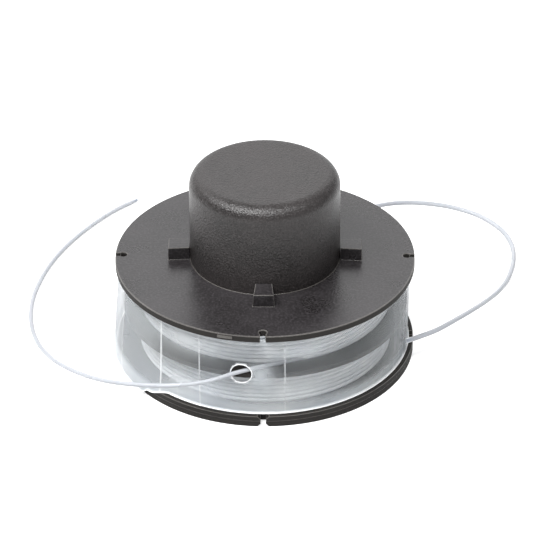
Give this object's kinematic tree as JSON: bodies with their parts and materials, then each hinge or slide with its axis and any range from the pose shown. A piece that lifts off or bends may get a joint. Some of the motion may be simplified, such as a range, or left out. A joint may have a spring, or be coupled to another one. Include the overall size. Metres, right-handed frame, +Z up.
{
  "type": "trimmer line spool",
  "caption": "Twin-bay grass trimmer line spool with a domed bump hub, drive dogs, notched flanges, sprung cup and a clear film sleeve.",
  "frame": {"origin": "on the spool's axis, in the plane of the base ring's underside, which the spool stands on", "axes": "+Z up the axis towards the bump hub; +X and +Y each run through a line notch and a dog; the front line hole is close to -Y"},
  "size_m": [0.1459, 0.128, 0.0576],
  "materials": {
    "hub_plastic": "moulded, finely textured",
    "flange_plastic": "moulded, finely textured",
    "cup_plastic": "moulded",
    "spring_steel": "drawn wire and pressed strip",
    "line_nylon": "clear extruded nylon",
    "sleeve_film": "milky clear stretched film"
  },
  "bodies": {
    "spool": {"bump_hub": "hub_plastic", "upper_flange": "flange_plastic", "centre_divider": "flange_plastic", "lower_flange": "flange_plastic", "base_ring": "flange_plastic", "return_spring": "spring_steel", "retaining_clip": "spring_steel", "upper_line_tail": "line_nylon", "lower_line_tail": "line_nylon", "upper_winding": "line_nylon", "lower_winding": "line_nylon", "front_line_end": "line_nylon", "rear_line_end": "line_nylon", "line_sleeve": "sleeve_film"},
    "cup": {"spring_cup": "cup_plastic"}
  },
  "joints": [
    {"name": "cup_slide", "type": "slide", "parent": "spool", "child": "cup", "axis": [0, 0, 1], "range_m": [0, 0.006], "stiffness_N_per_m": 600, "springref_m": -0.012, "deforming": ["return_spring"]}
  ]
}
